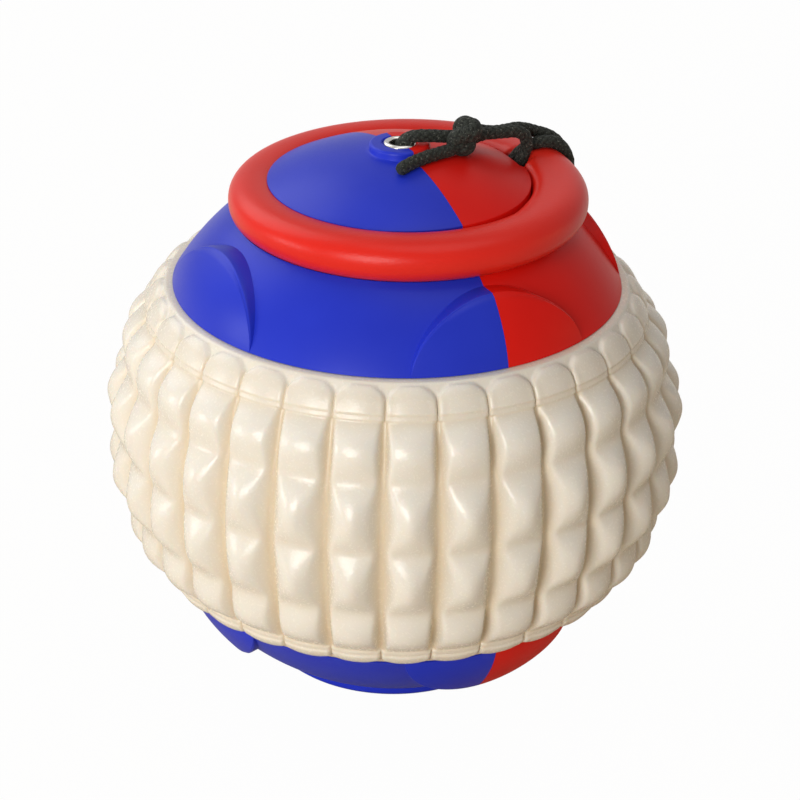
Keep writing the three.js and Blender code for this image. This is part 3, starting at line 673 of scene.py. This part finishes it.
def domeRows(low):
    # the dome's wall from the seat up, its rounded rim and the dome up to the collar's foot
    rim, soft = body["domeRim"], body["rimEdge"]
    softZ = float(sphereHeight(body["dome"] - soft, body["domeLift"], rim - soft))
    lean = math.degrees(math.atan2(softZ - body["domeLift"], rim - soft))
    low = np.minimum(low, softZ - body["leastWall"])
    wall = pairs(rim, low + (softZ - low) * np.linspace(0, 1, 4)[1:-1, None])
    rimRows = arcRows((rim - soft, softZ), soft, 0, lean, 7)
    r = np.linspace(rimRows[-1, 0], collar["radius"] + collar["foot"], 34)[1:]
    return np.concatenate([wall, allRound(np.concatenate([rimRows, pairs(r, domeHeight(r))]), low.size)])


def collarRows():
    # a low rounded washer round the eyelet, sunk a little where the rim sits, and the bore through the dome
    foot, edge, top = collar["foot"], collar["edge"], collar["top"]
    footZ = float(domeHeight(collar["radius"]))
    fillet = arcRows((collar["radius"] + foot, footZ + foot), foot, -100, -180, 5)
    rounded = arcRows((collar["radius"] - edge, top - edge), edge, 0, 90, 9)
    sink, low = collar["sink"], top - collar["sinkDepth"]
    sunk = [(sink + collar["sinkFlare"], top), (sink, top - collar["sinkBevel"]),
            (sink - collar["sinkDraft"], low), (collar["bore"], low)]
    bore = pairs(collar["bore"], np.linspace(low, room["ceiling"], 4)[1:])
    return np.concatenate([fillet, rounded, sunk, bore])


def footRows(lowTop):
    # the step down to the low dome, the low dome and the flat foot, as heights below the equator
    rim, foot = body["lowerRim"], body["foot"]
    lowDome = float(sphereHeight(body["lowDome"], body["lowLift"], rim))
    footDepth = float(centre[2] / mm)
    # the small steps in these lists round the edges
    step = [(rim, lowTop + 0.25), (rim, lowDome - 0.35), (rim - 0.12, lowDome - 0.1),
            (rim - 0.4, lowDome + 0.12)]
    r = np.linspace(rim - 0.6, foot + body["footEdge"], 18)
    under = pairs(r, sphereHeight(body["lowDome"], body["lowLift"], r))
    flat = [(foot + 0.35, footDepth - 0.06), (foot, footDepth), (foot / 2, footDepth), (0, footDepth)]
    return np.concatenate([step, under, flat])


def bodyRows(angles, arch, side):
    # the whole outline from the foot up: rows of (radius, height), one pair for each angle round the half
    n = arch.size
    lipR, lip = float(bodyRadius(body["lip"])), body["lip"]
    lipLow = lip - body["lipThick"]
    beltZ = np.linspace(0, lipLow, 8)
    belt = pairs(sphereRadius(body["belt"], 0, beltZ), beltZ)
    wider, closer = body["lipRound"]
    under = [(body["lipInside"], lipLow), (lipR - wider, lipLow), (lipR - closer, lip - closer)]
    mirrored = np.where(angles > 0, math.pi - angles, -math.pi - angles)
    hole = seatRows(angles if side > 0 else mirrored)
    upper = [allRound(belt, n), allRound(under, n), lipToBody(arch, hole[0, :, 1]), hole[1:],
             domeRows(hole[-1, :, 1]), allRound(collarRows(), n)]
    lowTop = float(sphereHeight(body["radius"], body["lift"], body["lowerRim"]))
    lower = [allRound(belt[1:], n), allRound(under, n), lipToBody(arch, lowTop),
             allRound(footRows(lowTop), n)]
    return np.concatenate([np.concatenate(lower)[::-1] * np.array([1, -1]), *upper])


def hollowRows(outer, angles, side):
    # the hollow along each row's own ray from the centre: a sphere, and a round room under the dome
    lean = np.maximum.accumulate(np.arctan2(outer[..., 1], outer[..., 0]), axis=0)
    lean = np.minimum(lean, math.pi / 2 - 1e-4)
    ball = body["belt"] - body["wall"]
    domeR, lift = body["dome"] - body["wall"], body["domeLift"]
    sin, cos = np.sin(lean), np.cos(lean)
    toDome = lift * sin + np.sqrt(domeR ** 2 - (lift * cos) ** 2)
    rising = np.maximum(sin, room["leastSine"])
    toCeiling = room["ceiling"] / rising
    roomReach = np.minimum(np.minimum(room["radius"] / cos, toDome), toCeiling)
    reach = np.where(sin > room["fromSine"], np.maximum(roomReach, ball), ball)
    if side > 0:
        # under the cord's slot the hollow stays below the slot's floor
        floor = slot["floor"] - slot["wall"]
        near = np.abs(np.sin(angles)) * body["domeRim"] < slot["half"] + slot["wall"] + slot["spare"]
        beside = near[None, :] & (lean > slot["fromLean"]) & (lean < math.atan2(floor, room["radius"]))
        reach = np.where(beside, np.minimum(reach, floor / rising), reach)
    rows = np.stack([reach * cos, reach * sin], -1)
    rows[-1] = outer[-1]
    return rows


def turned(rows, angles, side):
    # rows of (radius, height) put at their angles, with the half moved off the seam
    r, z = rows[..., 0], rows[..., 1]
    return np.stack([side * (r * np.cos(angles) + body["seam"]), r * np.sin(angles), z], -1)


def slotCutter():
    # a trough with rounded lower corners, carried along X
    half, low, corner = slot["half"], slot["floor"], slot["corner"]
    left = arcRows((-half + corner, low + corner), corner, 180, 270, 7)
    right = arcRows((half - corner, low + corner), corner, 270, 360, 7)
    outline = np.concatenate([[(-half, slot["end"])], left, right, [(half, slot["end"])]])
    stations = (slot["inner"], slot["end"])
    sides = np.stack([np.insert(outline, 0, x, axis=1) for x in stations])
    middles = [np.repeat([[x, *outline.mean(0)]], len(outline), 0) for x in stations]
    caps = [np.stack([edge, middle]) for edge, middle in zip(sides, middles)]
    return addMesh("slotCutter", [sides, *caps], redPlastic, (True, False))


def cutSlot(piece):
    cutter = slotCutter()
    cut = piece.modifiers.new("slot", "BOOLEAN")
    cut.object = cutter
    cut.operation = "DIFFERENCE"
    cut.solver = "EXACT"
    depsgraph = bpy.context.evaluated_depsgraph_get()
    result = bpy.data.meshes.new_from_object(piece.evaluated_get(depsgraph))
    piece.modifiers.clear()
    piece.data = result
    bpy.data.objects.remove(cutter)
    piece.data.set_sharp_from_angle(angle=math.radians(body["sharp"]))


def addHalf(name, side, material, slotName, node):
    angles, arch = halfColumns()
    outer = bodyRows(angles, arch, side)
    skin = turned(outer, angles, side)
    lining = turned(hollowRows(outer, angles, side), angles, side)
    seams = [np.stack([skin[:, k], lining[:, k]]) for k in (0, -1)]
    piece = addMesh(name, [skin, lining, *seams], material, sharp=body["sharp"])
    if side > 0:
        cutSlot(piece)
    return place(piece, "ball", slotName, node)


addHalf("blueHalf", -1, bluePlastic, "blue_plastic", "shell_blue")
addHalf("redHalf", 1, redPlastic, "red_plastic", "shell_red")
print("halves made")


# The chew sleeve: upright ribs with a head at each end, a narrow band under it and rows of bumps between.
# Places along a rib are degrees of latitude, and widths are shares of half the pitch. Where the two ends
# differ, the upper one comes first.
sleeve = dict(ribs=32, turn=-91.9, inner=43.5, lipTop=26.34,
              valley=46.5, valleyEnd=47.15, valleyRise=(16.0, 30.0),
              necks=(0.0, 14.5, 26.3), neckCrest=(47.7, 47.8, 47.7), neckRound=(0.08, 0.32, 0.25),
              bumpCrest=(49.95, 49.55), neckWidth=(0.70, 0.74, 0.80), bumpWidth=(0.36, 0.68), widthPower=1.2,
              base=0.96, crown=0.2, wallStraight=0.15,
              steps=(26.45, 27.6), stepRise=(0.24, 0.36), stepSoft=0.1,
              headPeak=(29.4, 28.4), headWidth=0.70, headRound=2.2, leastFall=0.3,
              headEnd=(33.5, 31.2), headArch=(2.6, 1.4), archPower=3, pastHead=0.25,
              # painted shade: how fast it darkens into the valleys, how light the upper heads stay and from
              # which latitudes, and the fixed share on the lip
              paintedShadeDepth=0.9, endPaintedLight=0.75, endPaintedLightFrom=(28, 32), lipPaintedLight=0.6)


def alongRows(size, neckValues, bumpValues, lobe):
    # a value that goes from neck to neck by way of the bump between them
    low, middle, high = sleeve["necks"]
    first = size < middle
    share = np.where(first, (size - low) / (middle - low), (size - middle) / (high - middle))
    atNeck = np.interp(size, sleeve["necks"], neckValues)
    means = [(neckValues[k] + neckValues[k + 1]) / 2 for k in (0, 1)]
    swing = np.where(first, bumpValues[0] - means[0], bumpValues[1] - means[1])
    return atNeck + swing * lobe(np.sin(math.pi * np.clip(share, 0, 1)), size)


def roundedLobe(wave, size):
    # |sin| with its sharp foot rounded, more at one neck than at another
    k = np.interp(size, sleeve["necks"], sleeve["neckRound"])
    return (np.sqrt(wave ** 2 + k * k) - k) / (np.sqrt(1 + k * k) - k)


def widthLobe(wave, size):
    # |sin| drawn in a little
    return wave ** sleeve["widthPower"]


def sleeveReach(lat, across):
    # distance from the centre: valley + (crest - valley) x profile across the rib, with crest and width
    # by latitude
    size, low = np.abs(lat), (lat < 0).astype(int)
    rise = smoothStep(*sleeve["valleyRise"], size)
    valley = sleeve["valley"] + (sleeve["valleyEnd"] - sleeve["valley"]) * rise
    crest = alongRows(size, sleeve["neckCrest"], sleeve["bumpCrest"], roundedLobe)
    width = alongRows(size, sleeve["neckWidth"], sleeve["bumpWidth"], widthLobe)
    # the band and the head each step out past the row below, and the head rounds over to an arched end
    steps = [1 / (1 + np.exp((at - size) / sleeve["stepSoft"])) for at in sleeve["steps"]]
    crest = crest + (sleeve["stepRise"][0] * steps[0] + sleeve["stepRise"][1] * steps[1])
    peak, end, arch = [np.array(sleeve[key])[low] for key in ("headPeak", "headEnd", "headArch")]
    end, isHead = end - arch * np.abs(across) ** sleeve["archPower"], steps[0]
    fall = np.clip((size - peak) / np.maximum(end - peak, sleeve["leastFall"]), 0, 1)
    crest = valley + (crest - valley) * np.sqrt(1 - fall ** 2)
    width = width + (sleeve["headWidth"] - width) * isHead
    # across: a flat top, then slanted walls with soft shoulders and feet, or round ones on the heads
    base = sleeve["base"] + (1 - sleeve["base"]) * isHead
    t = np.clip((np.abs(across) - width) / (base - width), 0, 1)
    straight = sleeve["wallStraight"]
    slanted = 1 - straight * t - (1 - straight) * smoothStep(0, 1, t)
    profile = slanted + (np.sqrt(1 - t ** sleeve["headRound"]) - slanted) * isHead
    profile = profile - sleeve["crown"] * np.minimum(np.abs(across) / width, 1) ** 2 * slanted
    return valley + (crest - valley) * np.maximum(profile, 0), valley


def sleeveLatitudes():
    # rows from the end of the lower heads to the end of the upper ones, closer together at the steps
    low, middle = sleeve["necks"][:2]
    first, second = sleeve["steps"]
    fine = np.array([-0.3, -0.18, -0.06, 0.06, 0.18, 0.3])
    shared = np.concatenate([np.linspace(low, middle, 18), np.linspace(middle, first - 0.5, 15)[1:],
                             first + fine, second + fine])
    upper, lower = [np.concatenate([shared, np.linspace(second + 0.5, end, 16), [end + sleeve["pastHead"]]])
                    for end in sleeve["headEnd"]]
    return np.concatenate([-lower[:0:-1], upper])


def addSleeve():
    # the ribbed outside by angle and latitude, then the lip, the plain inner side and the chamfered lip
    # below
    half = np.array([0, 0.2, 0.36, 0.48, 0.58, 0.67, 0.75, 0.82, 0.88, 0.93, 0.97, 1.0])
    across = np.concatenate([-half[:0:-1], half[:-1]])
    pitch = tau / sleeve["ribs"]
    ribs = math.radians(sleeve["turn"]) + pitch * np.arange(sleeve["ribs"])
    angles = (ribs[:, None] + pitch / 2 * across[None, :]).ravel()
    lat = sleeveLatitudes()
    reach, valley = sleeveReach(lat[:, None], across[None, :])
    # painted light share: 0 in the valleys, painted in shade, rising to 1 on the ribs, lit, and kept near
    # the lit colour at the upper end
    paintedLight = 1 - np.exp((valley - reach) / sleeve["paintedShadeDepth"])
    paintedLight = np.maximum(paintedLight, sleeve["endPaintedLight"] * smoothStep(*sleeve["endPaintedLightFrom"], lat)[:, None])
    paintedLight = np.tile(paintedLight, (1, sleeve["ribs"]))
    reach = np.tile(reach, (1, sleeve["ribs"]))
    lean = np.radians(lat)[:, None]
    r = reach * np.cos(lean)
    outside = np.stack([r * np.cos(angles), r * np.sin(angles), reach * np.sin(lean)], -1)
    top = sleeve["lipTop"]
    lip = [(38.9, top - 0.06), (38.6, top - 0.01), (38.2, top), (37.6, top), (36.9, top),
           (36.0, top - 0.3)]
    insideZ = np.linspace(top - 0.3, 0.3 - top, 7)
    inside = pairs(sphereRadius(sleeve["inner"], 0, insideZ), insideZ)
    lipBelow = [(36.0, 0.3 - top), (36.9, -top), (37.4, -26.1), (38.2, -25.65), (39.0, -25.15),
                (39.5, -24.9)]
    grid = np.concatenate([outside, lathe(np.concatenate([lip, inside, lipBelow]), angles)])
    # the lip and the inner side take a fixed share of the painted shade
    paintedLight = np.concatenate([paintedLight, np.full((len(grid) - len(paintedLight), angles.size), sleeve["lipPaintedLight"])])
    piece = addMesh("ribbedSleeve", [grid], creamSleeve, (True, True), values={"paintedLightShare": paintedLight})
    place(piece, "ball", "cream_rubber", "chew_sleeve")
    print("sleeve made,", len(piece.data.polygons), "faces")


addSleeve()


# The eyelet: a rolled rim, a barrel and a rolled lower end
eyelet = dict(hole=1.72, barrel=2.25, flange=2.74, top=51.1, neck=50.1, low=43.5, rolled=3.1,
              rolledThick=0.6)


def addEyelet():
    # a closed profile of (radius, height), turned about the upright axis
    half = (eyelet["flange"] - eyelet["hole"]) / 2
    rim = arcRows((eyelet["hole"] + half, eyelet["top"] - half), half, -30, 190, 20)
    low, high = eyelet["low"], eyelet["low"] + eyelet["rolledThick"]
    bead = eyelet["rolledThick"] / 2
    rolled = arcRows((eyelet["rolled"] - bead, (low + high) / 2), bead, -90, 90, 8)
    profile = np.concatenate([[(eyelet["hole"], low)], rolled,
                              [(eyelet["barrel"], high), (eyelet["barrel"], eyelet["neck"])], rim,
                              [(eyelet["hole"], eyelet["neck"])]])
    piece = addMesh("eyeletRim", [lathe(profile, ringAngles(96))], nickel, (True, True), sharp=50)
    place(piece, "ball", "nickel", "eyelet")
    print("eyelet made")


addEyelet()


# Inner pieces keep their own solids, in metal and pale plastic
def dressInside():
    looks = {"spool": innerPlastic, "spring_cover": innerPlastic, "axle": steel, "spring_arbor": steel,
             "return_spring": steel, "eyelet_washer": steel}
    for name, node in frame["nodes"].items():
        look = looks.get(name, steel if "screw" in name or "thrust" in name else None)
        if look:
            node.data.materials.clear()
            node.data.materials.append(look)
    print("inner pieces dressed")


dressInside()


# Floor, world and lamps: pale floor that keeps a soft shadow, white where nothing else is seen.
# A lamp has its direction (right, up, towards the viewer), distance, size, power and colour.
light = dict(world=0.17, gloss=0.55, floorSize=6.0, floorGlow=0.98, nearFloor=(0.06, 0.3),
             lamps=[("key", (-0.95, 0.0, 0.25), 1.1, 0.45, 2.4, (0.95, 0.98, 1.0)),
                    ("front", (-0.35, -0.17, 0.9), 1.4, 0.8, 12.0, (1.0, 0.995, 0.99)),
                    ("warm", (0.95, -0.1, -0.1), 1.2, 0.8, 1.5, (1.0, 0.52, 0.2)),
                    ("top", (0.15, 0.95, 0.05), 1.2, 0.9, 2.3, (1.0, 0.98, 0.96)),
                    ("back", (-0.5, 0.75, -0.45), 1.2, 1.0, 4.4, (1.0, 1.0, 1.0)),
                    ("rear", (0.1, 0.62, -0.95), 1.4, 0.9, 5.0, (1.0, 0.99, 0.97))])


def seenInGloss(start):
    # 1 for what is seen in a mirror or through glass
    glossy = start.node("LightPath", output="Is Glossy Ray")
    return glossy.maths("MAXIMUM", start.node("LightPath", output="Is Transmission Ray"))


def seenDirectly(start):
    # 1 for what the viewer sees with nothing between
    return start.node("LightPath", output="Is Camera Ray")


def emptyTree(owner):
    owner.use_nodes = True
    owner.node_tree.nodes.clear()
    return Wire(owner.node_tree)


def addFloor():
    half = light["floorSize"] / 2
    material = bpy.data.materials.new("paleFloor")
    start = emptyTree(material)
    point = objectPoint(start)
    colour = blendColours(start, noise(start, point, 3.0), rgb(210, 194, 168), rgb(214, 198, 172))
    matt = start.node("BsdfDiffuse", {}, {"Color": colour})
    glow = start.node("Emission", {}, {"Color": (1, 1, 1, 1), "Strength": 1.0})
    # close to the ball the floor shows its real shade in reflections
    inner, span = light["nearFloor"]
    distance = start.node("VectorMath", {"operation": "LENGTH"}, {0: point}, output="Value")
    away = ((distance - inner) / span).clamped()
    reflected = seenInGloss(start) * away * light["gloss"]
    share = seenDirectly(start).maths("MAXIMUM", reflected) * light["floorGlow"]
    mixed = start.node("MixShader", {}, {0: share, 1: matt, 2: glow})
    start.node("OutputMaterial", {}, {"Surface": mixed})
    mesh = bpy.data.meshes.new("paleFloor")
    corners = [(-half, -half, 0), (half, -half, 0), (half, half, 0), (-half, half, 0)]
    mesh.from_pydata(corners, [], [(0, 1, 2, 3)])
    mesh.materials.append(material)
    floor = bpy.data.objects.new("paleFloor", mesh)
    scene.collection.objects.link(floor)


def addWorld():
    scene.world = bpy.data.worlds.new("studio")
    start = emptyTree(scene.world)
    seen = seenDirectly(start).maths("MAXIMUM", seenInGloss(start) * light["gloss"])
    strength = seen.maths("MAXIMUM", light["world"])
    sky = start.node("Background", {}, {"Color": (1, 1, 1, 1), "Strength": strength})
    start.node("OutputWorld", {}, {"Surface": sky})


def addLamps():
    for name, (right, up, back), distance, size, power, colour in light["lamps"]:
        lamp = bpy.data.lights.new(name, "AREA")
        lamp.shape = "DISK"
        lamp.size = size
        lamp.energy = power
        lamp.color = colour
        holder = bpy.data.objects.new(name, lamp)
        toward = Vector(right * viewRight + back * viewBack + np.array([0, 0, up])).normalized()
        turn = toward.to_track_quat("Z", "Y").to_matrix().to_4x4()
        holder.matrix_world = Matrix.Translation(Vector(centre) + toward * distance) @ turn
        holder.visible_glossy = name != "rear"      # the rear lamp only fills the far side
        scene.collection.objects.link(holder)


addFloor()
addWorld()
addLamps()
scene.view_settings.view_transform = "Standard"
print("floor, world and lamps set")
